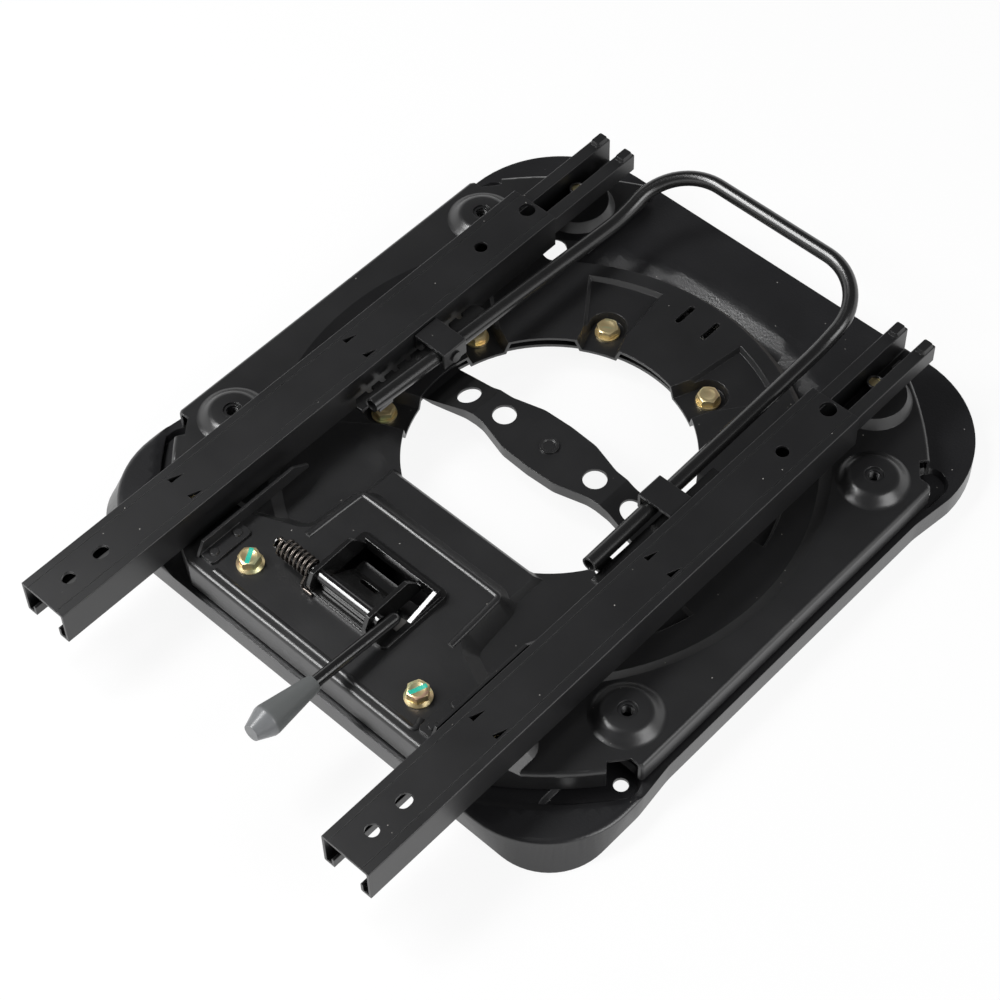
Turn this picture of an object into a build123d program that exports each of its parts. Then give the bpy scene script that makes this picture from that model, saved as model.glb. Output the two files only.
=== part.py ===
# Swivel seat base with sliding rails.
# Millimetres, +Z up along the swivel axis, +Y towards the release bar,
# origin on the swivel axis at the underside of the base plate.
import math
import os
from build123d import *

os.makedirs("parts", exist_ok=True)

# Driving sizes of the base plate
base_sheet = 2.5
base_height = 16.0
base_half_width = 208.0
base_waist = 3.5
base_near = 224.5
base_far = 232.0
base_corner = 42.0
corner_hump = 5.0
hump_radius = 252.0
anchor_x = 190.5
anchor_y = 146.3
anchor_hole = 4.75

# Driving sizes of the swivel plate
sheet = 2.0
plate_half_width = 200.5
plate_arc = 243.0
plate_front = 221.0
ring_rise = 4.0
panel_rise = 7.0
flange_depth = 16.0
hole_radius = 96.0
chord = 78.7
skin_radius = 165.0
arm_gap = 103.0
boss_spacing_x = 340.0
boss_spacing_y = 236.0
boss_foot = 22.5
boss_head = 15.5
boss_rise = 6.0
step_land = 3.45
step_radius = math.hypot(boss_spacing_x, boss_spacing_y) / 2 - boss_foot - step_land
pad_drop = 3.5
seat_drop = 9.0

# Driving sizes of the swivel bearing
track_drop = 5.5
ball_radius = 6.0
ball_circle = 163.0
ball_count = 32
groove = 0.5
race_height = 6.5
race_inner = 156.5
race_outer = 170.0
slide_ring_height = 1.0
retainer_sheet = 2.5
ring_bolt_circle = 115.0
bolt_radius = 4.0
bolt_flats = 13.0

# Driving sizes of the slide rails
rail_spacing = 257.4
rail_width = 37.6
rail_height = 27.0
rail_gap = 2.0
rail_sheet = 2.0
upper_length = 437.0
upper_near = -310.0
lower_near = -209.0
lower_far = 211.0
rail_travel = 183.0
lip_ball = 2.2
foot_ball = 2.0

# Driving sizes of the release bar and the lock lever
bar_radius = 5.25
bar_bore = 3.7
bar_inset = 35.7
lock_y = -177.0
lock_rise = 11.0
shaft_radius = 4.0
tooth_reach = 31.0
tooth_width = 20.0
tooth_centre = -5.5
tooth_clearance = 1.0
lever_x = 28.0
lever_angle = 5.0
lever_drop = 6.5

# Clearances of running fits and of faces that only pass each other
running = 0.05
air = 0.3

# Levels above the underside of the base plate
track_top = base_height - track_drop
ball_level = track_top - groove + ball_radius
race_under = ball_level + ball_radius - groove
skin_under = race_under + race_height
skin_top = skin_under + sheet
plate_top = skin_top + ring_rise
panel_top = plate_top + panel_rise
panel_under = panel_top - sheet
boss_top = plate_top + boss_rise
flange_bottom = plate_top - flange_depth
pad_top = skin_top - pad_drop
seat_top = skin_top - seat_drop
retainer_top = seat_top - sheet
slide_ring_bottom = track_top - base_sheet - slide_ring_height - running
rail_bottom = panel_top + rail_gap
rail_top = rail_bottom + rail_height
rail_x = rail_spacing / 2
lock_z = panel_top + lock_rise

# A pressed part is drawn as the solid under its top skin less the solid under its lower skin.
# Tapered walls move sideways by this share of the sheet to keep their thickness.
bend = math.tan(math.radians(22.5))

# Base plate outline, slightly waisted along both sides
waist_in = 120.0
waist_out = 150.0
waist_x = base_half_width - base_waist
with BuildSketch() as base_outline:
    with BuildLine():
        Polyline(
            (-base_half_width, -base_near),
            (base_half_width, -base_near),
            (base_half_width, -waist_out),
            (waist_x, -waist_in),
            (waist_x, waist_in),
            (base_half_width, waist_out),
            (base_half_width, base_far),
            (-base_half_width, base_far),
            (-base_half_width, waist_out),
            (-waist_x, waist_in),
            (-waist_x, -waist_in),
            (-base_half_width, -waist_out),
            close=True,
        )
    make_face()
    fillet(base_outline.vertices().filter_by(lambda v: abs(v.Y) > waist_out + 1), radius=base_corner)
    fillet(base_outline.vertices().filter_by(lambda v: abs(v.Y) < waist_out + 1), radius=60)
with BuildSketch() as base_lining:
    add(base_outline.sketch)
    offset(amount=-base_sheet, mode=Mode.REPLACE)

# Base plate skins: plateau, near corner humps, cone down to the ball track, anchor pockets
track_foot = race_outer + 6.0
cone_head = track_foot + 14.0
near_pocket = (183.0, -166.0)
near_pocket_size = (34.0, 62.0)
near_pocket_corner = 12.0
far_pocket_size = (20.0, 32.0)
far_pocket_corner = 9.0
pocket_drop = 4.0
hump_slope = 45
pocket_slope = 30
base_skins = []
for profile, drop, edge in (
    (base_outline.sketch, 0.0, 5.0),
    (base_lining.sketch, base_sheet, 2.5),
):
    grow = drop * bend
    with BuildPart() as skin:
        with BuildSketch(Plane.XY.offset(-drop)):
            add(profile)
        extrude(amount=base_height + corner_hump)
        fillet(skin.edges().group_by(Axis.Z)[-1], radius=edge)
        with BuildSketch(Plane.XY.offset(base_height - drop)):
            Circle(hump_radius + grow)
            with Locations((0, base_far / 2)):
                Rectangle(3 * base_half_width, base_far + waist_out)
        extrude(amount=corner_hump + 1, taper=-hump_slope, mode=Mode.SUBTRACT)
        with BuildSketch(Plane.XY.offset(base_height - drop)):
            Circle(cone_head)
        with BuildSketch(Plane.XY.offset(track_top - drop)):
            Circle(track_foot)
        loft(mode=Mode.SUBTRACT)
        with BuildSketch(Plane.XY.offset(base_height - pocket_drop - drop)):
            for sx in (-1, 1):
                with Locations((sx * near_pocket[0], near_pocket[1])):
                    wide, long = near_pocket_size
                    RectangleRounded(wide + 2 * grow, long + 2 * grow, near_pocket_corner + grow)
                with Locations((sx * anchor_x, anchor_y)):
                    wide, long = far_pocket_size
                    RectangleRounded(wide + 2 * grow, long + 2 * grow, far_pocket_corner + grow)
        extrude(amount=pocket_drop, taper=-pocket_slope, mode=Mode.SUBTRACT)
    base_skins.append(skin.part)

# Base plate with its central opening, ball groove, anchor holes and relief holes,
# and a slot at each quarter turn for the lock tooth to drop into
base_opening = 138.0
extra_anchor = (180.2, -180.4)
relief = (126.0, 143.0)
relief_hole = 9.0
tooth_thickness = 4.0
tooth_half = tooth_thickness / 2
tooth_y = lock_y + tooth_reach
tooth_tip = track_top + tooth_clearance
dip = math.radians(lever_drop)
tooth_swing = (lock_z - tooth_tip) * math.sin(dip) + (tooth_reach - tooth_half) * (1 - math.cos(dip))
slot_clearance = 0.7
slot_long = tooth_width + 2.0
slot_near = tooth_y - tooth_half - tooth_swing - slot_clearance
slot_far = tooth_y + tooth_half
with BuildPart() as base_plate:
    add(base_skins[0])
    add(base_skins[1], mode=Mode.SUBTRACT)
    with BuildSketch():
        Circle(base_opening)
        for sx in (-1, 1):
            with Locations((sx * anchor_x, anchor_y), (sx * anchor_x, -anchor_y)):
                Circle(anchor_hole)
            with Locations((sx * extra_anchor[0], extra_anchor[1])):
                Circle(anchor_hole)
            with Locations((sx * relief[0], relief[1])):
                Circle(relief_hole)
    extrude(amount=base_height, mode=Mode.SUBTRACT)
    for turn in (0, 90, 180, 270):
        with BuildSketch(Plane.XY.rotated((0, 0, turn))):
            with Locations((tooth_centre, (slot_near + slot_far) / 2)):
                RectangleRounded(slot_long, slot_far - slot_near, 1.5)
        extrude(amount=base_height, mode=Mode.SUBTRACT)
    with BuildSketch(Plane.XZ):
        with Locations((ball_circle, ball_level)):
            Circle(ball_radius + running)
    revolve(axis=Axis.Z, mode=Mode.SUBTRACT)
base_plate.part.label = "base_plate"
export_step(base_plate.part, "parts/base_plate.step")

# Swivel plate outline: arcs at the ends, straight sides and front
with BuildSketch() as plate_outline:
    Circle(plate_arc)
    Rectangle(2 * plate_half_width, 3 * plate_arc, mode=Mode.INTERSECT)
    with Locations((0, -plate_front - plate_arc)):
        Rectangle(2 * plate_arc, 2 * plate_arc, mode=Mode.SUBTRACT)
with BuildSketch() as plate_lining:
    add(plate_outline.sketch)
    offset(amount=-sheet, mode=Mode.REPLACE)

# Raised front panel, wider in front of its two shoulders
panel_flank = 58.0
panel_shoulder = 63.0
panel_wing = 142.0
panel_wing_far = -172.0
panel_far = -107.0
with BuildSketch() as panel_outline:
    with BuildLine():
        Polyline(
            (-panel_wing, -plate_front - 30),
            (-panel_wing, panel_wing_far),
            (-100, panel_wing_far + 4),
            (-panel_shoulder, -152),
            (-panel_flank, panel_far),
            (panel_flank, panel_far),
            (panel_shoulder, -152),
            (100, panel_wing_far + 4),
            (panel_wing, panel_wing_far),
            (panel_wing, -plate_front - 30),
            close=True,
        )
    make_face()
    hollow = panel_outline.vertices().filter_by(lambda v: panel_flank + 1 < abs(v.X) < panel_wing - 1)
    fillet(hollow, radius=18)
    fillet(
        panel_outline.vertices().filter_by_position(Axis.Y, panel_wing_far - 1, panel_wing_far + 1),
        radius=7,
    )
    fillet(panel_outline.vertices().filter_by_position(Axis.Y, panel_far - 1, panel_far + 1), radius=7)

# Places of the bolt pads and of the corner reliefs of the swivel plate
step_foot = step_radius - 2 * ring_rise
seat_x = rail_x
seat_y = 170.0
seat_radius = 22.0
boss_x = boss_spacing_x / 2
boss_y = boss_spacing_y / 2
pad_outer = 152.5
pad_half_angle = 10.0
pad_angles = (22.5, 67.5, 112.5, 157.5, 202.5, 337.5)
seat_dimple = 11.5
bolt_spots = [
    (ring_bolt_circle * math.cos(math.radians(a)), ring_bolt_circle * math.sin(math.radians(a)))
    for a in pad_angles
]
panel_lift = panel_top - skin_top
spread = pad_outer * 1.2 * math.tan(math.radians(pad_half_angle))

# Swivel plate skins: round step down to the ring, front panel, rail seats, bosses and bolt pads
plate_skins = []
for profile, drop, edge in (
    (plate_outline.sketch, 0.0, 3.0),
    (plate_lining.sketch, sheet, 1.0),
):
    grow = drop * bend
    pad_grow = drop * math.tan(math.radians(30))
    seat_grow = drop * math.tan(math.radians(35))
    with BuildPart() as panel_form:
        with BuildSketch(Plane.XY.offset(skin_top - drop)):
            add(panel_outline.sketch)
            offset(amount=panel_lift - grow, mode=Mode.REPLACE)
        extrude(amount=panel_lift, taper=45)
        with BuildSketch(Plane.XY.offset(skin_top - drop)):
            with Locations((0, panel_far)):
                Rectangle(2 * (panel_flank + 3 + ring_rise - grow), 60)
        extrude(amount=ring_rise, taper=45)
        with BuildSketch(Plane.XY.offset(skin_top - drop)):
            add(profile)
        extrude(amount=panel_lift, mode=Mode.INTERSECT)
        front = panel_form.edges().group_by(Axis.Z)[-1].group_by(Axis.Y)[0]
        fillet(front, radius=edge)
    with BuildPart() as skin:
        with BuildSketch(Plane.XY.offset(flange_bottom - drop)):
            add(profile)
        extrude(amount=plate_top - flange_bottom)
        fillet(skin.edges().group_by(Axis.Z)[-1], radius=edge)
        with BuildSketch(Plane.XY.offset(plate_top - drop)):
            Circle(step_radius + grow)
        with BuildSketch(Plane.XY.offset(skin_top - drop)):
            Circle(step_foot + grow)
        loft(mode=Mode.SUBTRACT)
        add(panel_form.part)
        with BuildSketch(Plane.XY.offset(plate_top - drop)):
            with Locations((seat_x, seat_y), (-seat_x, seat_y)):
                Circle(seat_radius + 4 - grow)
        extrude(amount=panel_rise, taper=30)
        for bx in (-boss_x, boss_x):
            for by in (-boss_y, boss_y):
                with BuildSketch(Plane.XY.offset(plate_top - drop)):
                    with Locations((bx, by)):
                        Circle(boss_foot - grow)
                with BuildSketch(Plane.XY.offset(boss_top - drop)):
                    with Locations((bx, by)):
                        Circle(boss_head - grow)
                loft()
        for angle in pad_angles:
            with BuildSketch(Plane.XY.offset(pad_top - drop)):
                with BuildLine(Plane.XY.rotated((0, 0, angle))):
                    Polyline((60, 0), (1.2 * pad_outer, spread), (1.2 * pad_outer, -spread), close=True)
                make_face()
                Circle(pad_outer, mode=Mode.INTERSECT)
                offset(amount=pad_grow, mode=Mode.REPLACE)
            extrude(amount=pad_drop, taper=-30, mode=Mode.SUBTRACT)
            with BuildSketch(Plane.XY.offset(seat_top - drop).rotated((0, 0, angle))):
                with Locations((ring_bolt_circle, 0)):
                    Circle(seat_dimple + seat_grow)
                with Locations((ring_bolt_circle - 15, 0)):
                    Rectangle(30, 2 * (seat_dimple + seat_grow))
            extrude(amount=seat_drop, taper=-20, mode=Mode.SUBTRACT)
    plate_skins.append(skin.part)

# Swivel plate with its openings and holes, and the turned-down inner sides of its two arms
relief_spot = (115.0, 131.0)
relief_radius = 9.0
slit_x = 11.0
slit_y = 147.0
boss_hole = 6.25
foot_near = -190.0
panel_bolt_x = 72.4
panel_bolt_y = -194.9
clear_hole = bolt_radius + 0.3
window_half = 31.7
window_near = -172.0
window_far = -136.0
notch = (
    (plate_half_width + 1, 139),
    (191, 139),
    (182, 150),
    (187.5, 156.5),
    (plate_half_width + 1, 157),
)
with BuildPart() as swivel_plate:
    add(plate_skins[0])
    add(plate_skins[1], mode=Mode.SUBTRACT)
    with BuildSketch():
        Rectangle(2 * arm_gap, 2 * plate_arc)
        Circle(skin_radius, mode=Mode.SUBTRACT)
        with Locations((0, -plate_arc)):
            Rectangle(4 * plate_arc, 2 * plate_arc, mode=Mode.SUBTRACT)
    extrude(amount=rail_top, mode=Mode.SUBTRACT)
    with BuildSketch():
        Circle(hole_radius)
        with Locations((0, -chord - hole_radius)):
            Rectangle(2 * hole_radius, 2 * hole_radius, mode=Mode.SUBTRACT)
    extrude(amount=rail_top, mode=Mode.SUBTRACT)
    with BuildSketch():
        with Locations((0, (window_near + window_far) / 2)):
            Rectangle(2 * window_half, window_far - window_near)
        with Locations((-slit_x, slit_y), (slit_x, slit_y)):
            SlotOverall(18, 4, rotation=90)
        with Locations(*bolt_spots):
            Circle(clear_hole)
        for sx in (-1, 1):
            with Locations((sx * boss_x, boss_y), (sx * boss_x, -boss_y)):
                Circle(boss_hole)
            with Locations((sx * seat_x, seat_y), (sx * seat_x, foot_near), (sx * panel_bolt_x, panel_bolt_y)):
                Circle(clear_hole)
            with Locations((sx * relief_spot[0], relief_spot[1])):
                Circle(relief_radius)
            for sy in (-1, 1):
                with BuildLine():
                    Polyline([(sx * x, sy * y) for x, y in notch], close=True)
                make_face()
    extrude(amount=rail_top, mode=Mode.SUBTRACT)
    with BuildSketch(Plane.XY.offset(flange_bottom)):
        with Locations((arm_gap + sheet / 2, plate_arc / 2), (-arm_gap - sheet / 2, plate_arc / 2)):
            Rectangle(sheet, plate_arc)
        Circle(plate_arc - 2.5 * sheet, mode=Mode.INTERSECT)
        Circle(step_radius + 3, mode=Mode.SUBTRACT)
    extrude(amount=plate_top - sheet / 2 - flange_bottom)
swivel_plate.part.label = "swivel_plate"
export_step(swivel_plate.part, "parts/swivel_plate.step")

# Ring of balls between the base track and the race ring above it
with BuildPart() as bearing_balls:
    with Locations((0, 0, ball_level)):
        with PolarLocations(ball_circle, ball_count):
            Sphere(ball_radius)
bearing_balls.part.label = "bearing_balls"
export_step(bearing_balls.part, "parts/bearing_balls.step")

# Flat cage that spaces the balls
cage_inner = race_inner - 1.3
cage_outer = race_outer + 0.8
cage_height = 3.0
with BuildPart() as ball_cage:
    with BuildSketch(Plane.XY.offset(ball_level - cage_height / 2)):
        Circle(cage_outer)
        Circle(cage_inner, mode=Mode.SUBTRACT)
        with PolarLocations(ball_circle, ball_count):
            Circle(ball_radius + air / 2, mode=Mode.SUBTRACT)
    extrude(amount=cage_height)
ball_cage.part.label = "ball_cage"
export_step(ball_cage.part, "parts/ball_cage.step")

# Turned race ring between the balls and the swivel plate, with a low lip outside
lip_width = 4.0
lip_height = 2.5
with BuildPart() as race_ring:
    with BuildSketch(Plane.XZ):
        with BuildLine():
            Polyline(
                (race_inner, race_under),
                (race_outer, race_under),
                (race_outer, race_under + lip_height),
                (race_outer - lip_width, race_under + lip_height),
                (race_outer - lip_width, skin_under),
                (race_inner, skin_under),
                close=True,
            )
        make_face()
        with Locations((ball_circle, ball_level)):
            Circle(ball_radius + running, mode=Mode.SUBTRACT)
    revolve(axis=Axis.Z)
race_ring.part.label = "race_ring"
export_step(race_ring.part, "parts/race_ring.step")

# Retaining ring: bolted under the swivel plate, reaching out under the base track
retainer_inner = 100.0
retainer_flat = 128.0
retainer_step = 133.0
retainer_outer = 168.0
retainer_low = slide_ring_bottom - retainer_sheet
strap_rivet_spots = [(sx * 112.0, sy * 9.0) for sx in (-1, 1) for sy in (-1, 1)]
strap_rivet_radius = 3.0
strap_rivet_hole = strap_rivet_radius + 0.3
with BuildPart() as retaining_ring:
    with BuildSketch(Plane.XZ):
        with BuildLine():
            Polyline(
                (retainer_inner, retainer_top),
                (retainer_flat, retainer_top),
                (retainer_step, slide_ring_bottom),
                (retainer_outer, slide_ring_bottom),
                (retainer_outer, retainer_low),
                (retainer_step - 1.6, retainer_low),
                (retainer_flat - 1.6, retainer_top - retainer_sheet),
                (retainer_inner, retainer_top - retainer_sheet),
                close=True,
            )
        make_face()
    revolve(axis=Axis.Z)
    with BuildSketch():
        with Locations(*bolt_spots):
            Circle(clear_hole)
        with Locations(*strap_rivet_spots):
            Circle(strap_rivet_hole)
    extrude(amount=skin_top, mode=Mode.SUBTRACT)
retaining_ring.part.label = "retaining_ring"
export_step(retaining_ring.part, "parts/retaining_ring.step")

# Plastic slide ring between the retaining ring and the underside of the base track
with BuildPart() as slide_ring:
    with BuildSketch(Plane.XY.offset(slide_ring_bottom)):
        Circle(retainer_outer - 2)
        Circle(base_opening + 2, mode=Mode.SUBTRACT)
    extrude(amount=slide_ring_height)
slide_ring.part.label = "slide_ring"
export_step(slide_ring.part, "parts/slide_ring.step")

# Centre strap: pressed channel across the opening, its flat ends on the retaining ring
strap_rise = 35.4
strap_flat = 55.0
strap_foot = 95.0
strap_end = 118.0
strap_flange = 9.0
strap_low = retainer_top
strap_half = ((-strap_end, 15), (-100, 17), (-80, 15), (-62, 13), (-45, 14), (-22, 20.5), (0, 21.5))
strap_edge = [(x, y) for x, y in strap_half] + [(-x, y) for x, y in reversed(strap_half[:-1])]
with BuildSketch() as strap_outline:
    with BuildLine():
        Polyline(*strap_edge, *[(x, -y) for x, y in reversed(strap_edge)], close=True)
    make_face()
    fillet(strap_outline.vertices().filter_by(lambda v: abs(v.X) > strap_end - 1), radius=5)
    fillet(strap_outline.vertices().filter_by(lambda v: abs(v.X) < strap_end - 10), radius=22)
with BuildSketch() as strap_lining:
    add(strap_outline.sketch)
    offset(amount=-sheet, mode=Mode.REPLACE)
with BuildPart() as strap_under:
    with BuildSketch(Plane.XY):
        add(strap_lining.sketch)
    extrude(amount=strap_rise)
    with BuildSketch(Plane.XZ):
        with BuildLine():
            Polyline(
                (-strap_foot + 0.35, strap_low),
                (-strap_flat + 0.35, strap_rise - sheet),
                (strap_flat - 0.35, strap_rise - sheet),
                (strap_foot - 0.35, strap_low),
                close=True,
            )
        make_face()
    extrude(amount=50, both=True, mode=Mode.INTERSECT)
with BuildPart() as centre_strap:
    with BuildSketch(Plane.XY):
        add(strap_outline.sketch)
    extrude(amount=strap_rise)
    with BuildSketch(Plane.XZ):
        with BuildLine():
            Polyline(
                (-strap_end, strap_low + sheet),
                (-strap_foot, strap_low + sheet),
                (-strap_flat, strap_rise),
                (strap_flat, strap_rise),
                (strap_foot, strap_low + sheet),
                (strap_end, strap_low + sheet),
                (strap_end, strap_low),
                (strap_foot - 5, strap_low),
                (strap_flat - 3, strap_rise - strap_flange),
                (-strap_flat + 3, strap_rise - strap_flange),
                (-strap_foot + 5, strap_low),
                (-strap_end, strap_low),
                close=True,
            )
        make_face()
    extrude(amount=50, both=True, mode=Mode.INTERSECT)
    add(strap_under.part, mode=Mode.SUBTRACT)
    with BuildSketch():
        with Locations((-70.8, 0), (-39.2, 0), (39.2, 0), (70.8, 0)):
            Circle(8)
        Circle(4.1)
        with Locations(*strap_rivet_spots):
            Circle(strap_rivet_hole)
    extrude(amount=strap_rise, mode=Mode.SUBTRACT)
centre_strap.part.label = "centre_strap"
export_step(centre_strap.part, "parts/centre_strap.step")

# Stud riveted in the middle of the strap
with BuildPart() as strap_stud:
    with BuildSketch(Plane.XZ):
        with BuildLine():
            Polyline(
                (0, strap_rise + 0.6),
                (4.2, strap_rise + 0.6),
                (4.8, strap_rise + 1.4),
                (6.4, strap_rise + 1.4),
                (6.4, strap_rise),
                (4, strap_rise),
                (4, strap_rise - sheet),
                (5.5, strap_rise - sheet),
                (5.5, strap_rise - sheet - 1.5),
                (0, strap_rise - sheet - 1.5),
                close=True,
            )
        make_face()
    revolve(axis=Axis.Z)
strap_stud.part.label = "strap_stud"
export_step(strap_stud.part, "parts/strap_stud.step")

# Rivets that hold the strap ends to the retaining ring
with BuildPart() as strap_rivets:
    with Locations(*strap_rivet_spots):
        with Locations((0, 0, retainer_top - retainer_sheet)):
            rivet_length = retainer_sheet + sheet
            Cylinder(strap_rivet_radius, rivet_length, align=(Align.CENTER, Align.CENTER, Align.MIN))
        with Locations((0, 0, strap_low + sheet)):
            Cylinder(4.5, 1.5, align=(Align.CENTER, Align.CENTER, Align.MIN))
        with Locations((0, 0, retainer_top - retainer_sheet)):
            Cylinder(4.5, 1.5, align=(Align.CENTER, Align.CENTER, Align.MAX))
strap_rivets.part.label = "strap_rivets"
export_step(strap_rivets.part, "parts/strap_rivets.step")

# Washers, hexagon bolts and nuts that clamp the swivel plate to the retaining ring
washer_height = 1.5
head_height = 5.5
nut_height = 6.5
with BuildPart() as ring_washers:
    with BuildSketch(Plane.XY.offset(seat_top)):
        with Locations(*bolt_spots):
            Circle(8.5)
            Circle(clear_hole, mode=Mode.SUBTRACT)
    extrude(amount=washer_height)
ring_washers.part.label = "ring_washers"
export_step(ring_washers.part, "parts/ring_washers.step")
head_foot = seat_top + washer_height
nut_top = retainer_top - retainer_sheet
with BuildPart() as ring_bolts:
    with BuildSketch(Plane.XY.offset(head_foot)):
        with Locations(*bolt_spots):
            RegularPolygon(bolt_flats / 2, 6, major_radius=False)
    extrude(amount=head_height)
    with BuildSketch(Plane.XY.offset(nut_top - nut_height - 1.5)):
        with Locations(*bolt_spots):
            Circle(bolt_radius)
    extrude(amount=head_foot - nut_top + nut_height + 1.5)
ring_bolts.part.label = "ring_bolts"
export_step(ring_bolts.part, "parts/ring_bolts.step")
with BuildPart() as ring_nuts:
    with BuildSketch(Plane.XY.offset(nut_top - nut_height)):
        with Locations(*bolt_spots):
            RegularPolygon(bolt_flats / 2, 6, major_radius=False)
            Circle(bolt_radius, mode=Mode.SUBTRACT)
    extrude(amount=nut_height)
ring_nuts.part.label = "ring_nuts"
export_step(ring_nuts.part, "parts/ring_nuts.step")

# Flange bolts in the front panel with their weld nuts
flange_radius = 9.0
flange_height = 1.4
panel_bolt_spots = [(-panel_bolt_x, panel_bolt_y), (panel_bolt_x, panel_bolt_y)]
with BuildPart() as panel_bolts:
    with BuildSketch(Plane.XY.offset(panel_top)):
        with Locations(*panel_bolt_spots):
            Circle(flange_radius)
    extrude(amount=flange_height)
    with BuildSketch(Plane.XY.offset(panel_top + flange_height)):
        with Locations(*panel_bolt_spots):
            RegularPolygon(bolt_flats / 2, 6, major_radius=False)
    extrude(amount=6.8)
    with BuildSketch(Plane.XY.offset(panel_under - nut_height - 3)):
        with Locations(*panel_bolt_spots):
            Circle(bolt_radius)
    extrude(amount=nut_height + 3 + sheet)
panel_bolts.part.label = "panel_bolts"
export_step(panel_bolts.part, "parts/panel_bolts.step")
with BuildPart() as panel_nuts:
    with BuildSketch(Plane.XY.offset(panel_under - nut_height)):
        with Locations(*panel_bolt_spots):
            RegularPolygon(bolt_flats / 2, 6, major_radius=False)
            Circle(bolt_radius, mode=Mode.SUBTRACT)
    extrude(amount=nut_height)
panel_nuts.part.label = "panel_nuts"
export_step(panel_nuts.part, "parts/panel_nuts.step")

# Threaded weld nuts under the four bosses, each with a collar in the boss hole
boss_bore = 4.25
boss_spots = [(sx * boss_x, sy * boss_y) for sx in (-1, 1) for sy in (-1, 1)]
with BuildPart() as boss_nuts:
    with BuildSketch(Plane.XY.offset(boss_top - sheet - 8)):
        with Locations(*boss_spots):
            RegularPolygon(8.5, 6, major_radius=False)
    extrude(amount=8)
    with BuildSketch(Plane.XY.offset(boss_top - sheet)):
        with Locations(*boss_spots):
            Circle(boss_hole - running)
    extrude(amount=1.4)
    with BuildSketch():
        with Locations(*boss_spots):
            Circle(boss_bore)
    extrude(amount=boss_top, mode=Mode.SUBTRACT)
boss_nuts.part.label = "boss_nuts"
export_step(boss_nuts.part, "parts/boss_nuts.step")

# Rolled profiles of one slide seen along the rail: lower rail inside, upper rail around it
lower_floor = panel_top
lower_lip = rail_top - rail_sheet - 2 * lip_ball - 2 * running
wall_out = 8.6
wall_in = wall_out - rail_sheet
curl_out = 15.7
curl_in = curl_out - rail_sheet
curl_end = rail_bottom + rail_sheet + 2 * foot_ball + 2 * running
with BuildSketch() as lower_profile:
    with BuildLine():
        Polyline(
            (0, lower_floor),
            (wall_out, lower_floor),
            (wall_out, lower_lip - rail_sheet),
            (curl_in, lower_lip - rail_sheet),
            (curl_in, curl_end),
            (curl_out, curl_end),
            (curl_out, lower_lip),
            (wall_in, lower_lip),
            (wall_in, lower_floor + rail_sheet),
            (0, lower_floor + rail_sheet),
            close=True,
        )
    make_face()
    fillet(lower_profile.vertices().filter_by(lambda v: v.X > 1), radius=0.8)
    mirror(about=Plane.YZ)
half_width = rail_width / 2
lip_in = 10.5
lip_out = lip_in + rail_sheet
lip_top = rail_bottom + 8.0
with BuildSketch() as upper_profile:
    with BuildLine():
        Polyline(
            (0, rail_top),
            (half_width, rail_top),
            (half_width, rail_bottom),
            (lip_in, rail_bottom),
            (lip_in, lip_top),
            (lip_out, lip_top),
            (lip_out, rail_bottom + rail_sheet),
            (half_width - rail_sheet, rail_bottom + rail_sheet),
            (half_width - rail_sheet, rail_top - rail_sheet),
            (0, rail_top - rail_sheet),
            close=True,
        )
    make_face()
    fillet(upper_profile.vertices().filter_by(lambda v: v.X > 1), radius=0.8)
    with Locations((half_width - 5.8, rail_top)):
        Rectangle(0.8, 0.6, mode=Mode.SUBTRACT)
    mirror(about=Plane.YZ)

# Lower rails, screwed to the swivel plate on the front panel and on the two far rail seats
foot_y = (seat_y, foot_near)
stop_length = 12.0
stop_height = 2.6
for side, name in ((-1, "lower_rail_left"), (1, "lower_rail_right")):
    with BuildPart() as lower_rail:
        with BuildSketch(Plane((side * rail_x, lower_far, 0), x_dir=(1, 0, 0), z_dir=(0, -1, 0))):
            add(lower_profile.sketch)
        extrude(amount=lower_far - lower_near)
        with BuildSketch(Plane.XY.offset(lower_lip)):
            for x in (-1, 1):
                with Locations((side * rail_x + x * (wall_in + curl_out) / 2, lower_far - stop_length / 2)):
                    RectangleRounded(curl_out - wall_in - 1.2, stop_length - 0.6, 2)
        extrude(amount=stop_height, taper=20)
        with BuildSketch(Plane.XY.offset(lower_floor)):
            with Locations(*[(side * rail_x, y) for y in foot_y]):
                Circle(clear_hole)
            with Locations((side * rail_x, lower_far - 13)):
                SlotOverall(12, 7, rotation=90)
            with Locations((side * rail_x, 60), (side * rail_x, -60)):
                Circle(3.5)
        extrude(amount=rail_sheet, mode=Mode.SUBTRACT)
    lower_rail.part.label = name
    export_step(lower_rail.part, f"parts/{name}.step")

# Round nuts in the lower rails and the screws that reach them from below the swivel plate
foot_spots = [(side * rail_x, y) for side in (-1, 1) for y in foot_y]
with BuildPart() as rail_nuts:
    with BuildSketch(Plane.XY.offset(lower_floor + rail_sheet)):
        with Locations(*foot_spots):
            Circle(wall_in - 1)
            Circle(bolt_radius, mode=Mode.SUBTRACT)
    extrude(amount=9.5)
    chamfer(rail_nuts.faces().sort_by(Axis.Z)[-4:].edges(), length=0.5)
rail_nuts.part.label = "rail_nuts"
export_step(rail_nuts.part, "parts/rail_nuts.step")
with BuildPart() as rail_screws:
    with BuildSketch(Plane.XY.offset(panel_under - 4)):
        with Locations(*foot_spots):
            Circle(7.5)
    extrude(amount=4)
    with BuildSketch(Plane.XY.offset(panel_under)):
        with Locations(*foot_spots):
            Circle(bolt_radius)
    extrude(amount=12)
    with BuildSketch(Plane.XY.offset(panel_under - 4)):
        with Locations(*foot_spots):
            RegularPolygon(2.5, 6, major_radius=False)
    extrude(amount=2.5, mode=Mode.SUBTRACT)
rail_screws.part.label = "rail_screws"
export_step(rail_screws.part, "parts/rail_screws.step")

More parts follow.
